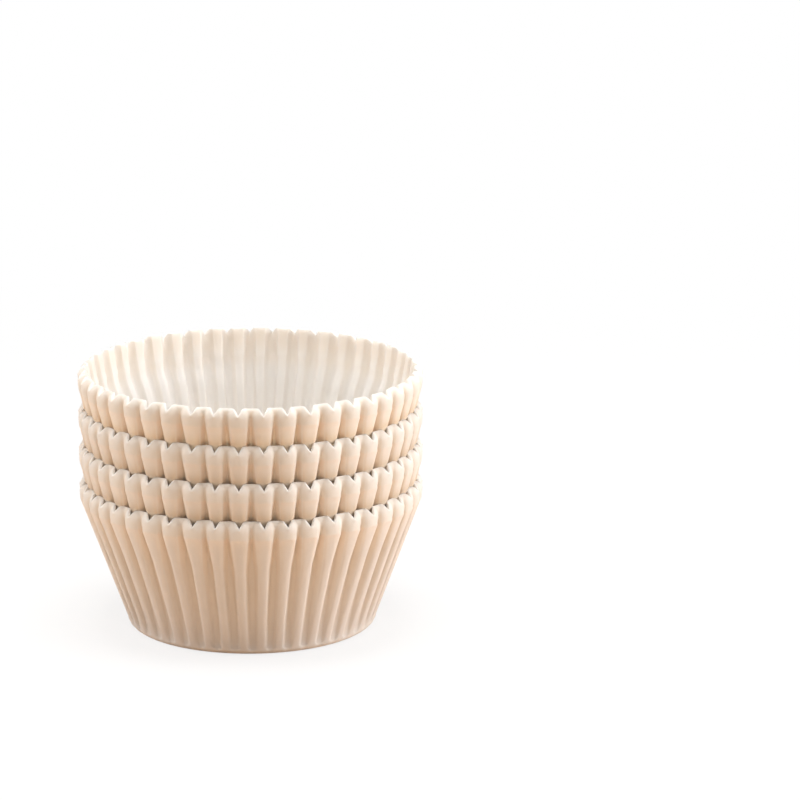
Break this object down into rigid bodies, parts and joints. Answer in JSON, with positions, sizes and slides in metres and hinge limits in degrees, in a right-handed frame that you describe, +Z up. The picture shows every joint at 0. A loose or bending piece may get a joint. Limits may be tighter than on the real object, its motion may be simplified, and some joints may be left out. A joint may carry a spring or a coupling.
{
  "type": "stack of cupcake liners",
  "caption": "Stack of nested white paper cupcake liners with pleated flaring walls, flat round bases and turned-down hems notched at every ridge.",
  "frame": {"origin": "centre of the lowest liner's flat underside", "axes": "+Z up along the axis of the stack, -Y towards the front of the picture"},
  "size_m": [0.073, 0.073, 0.056],
  "materials": {
    "liner_paper": "matt, slightly translucent greaseproof paper"
  },
  "bodies": {
    "root": {"liner_1": "liner_paper", "liner_2": "liner_paper", "liner_3": "liner_paper", "liner_4": "liner_paper"}
  },
  "joints": []
}
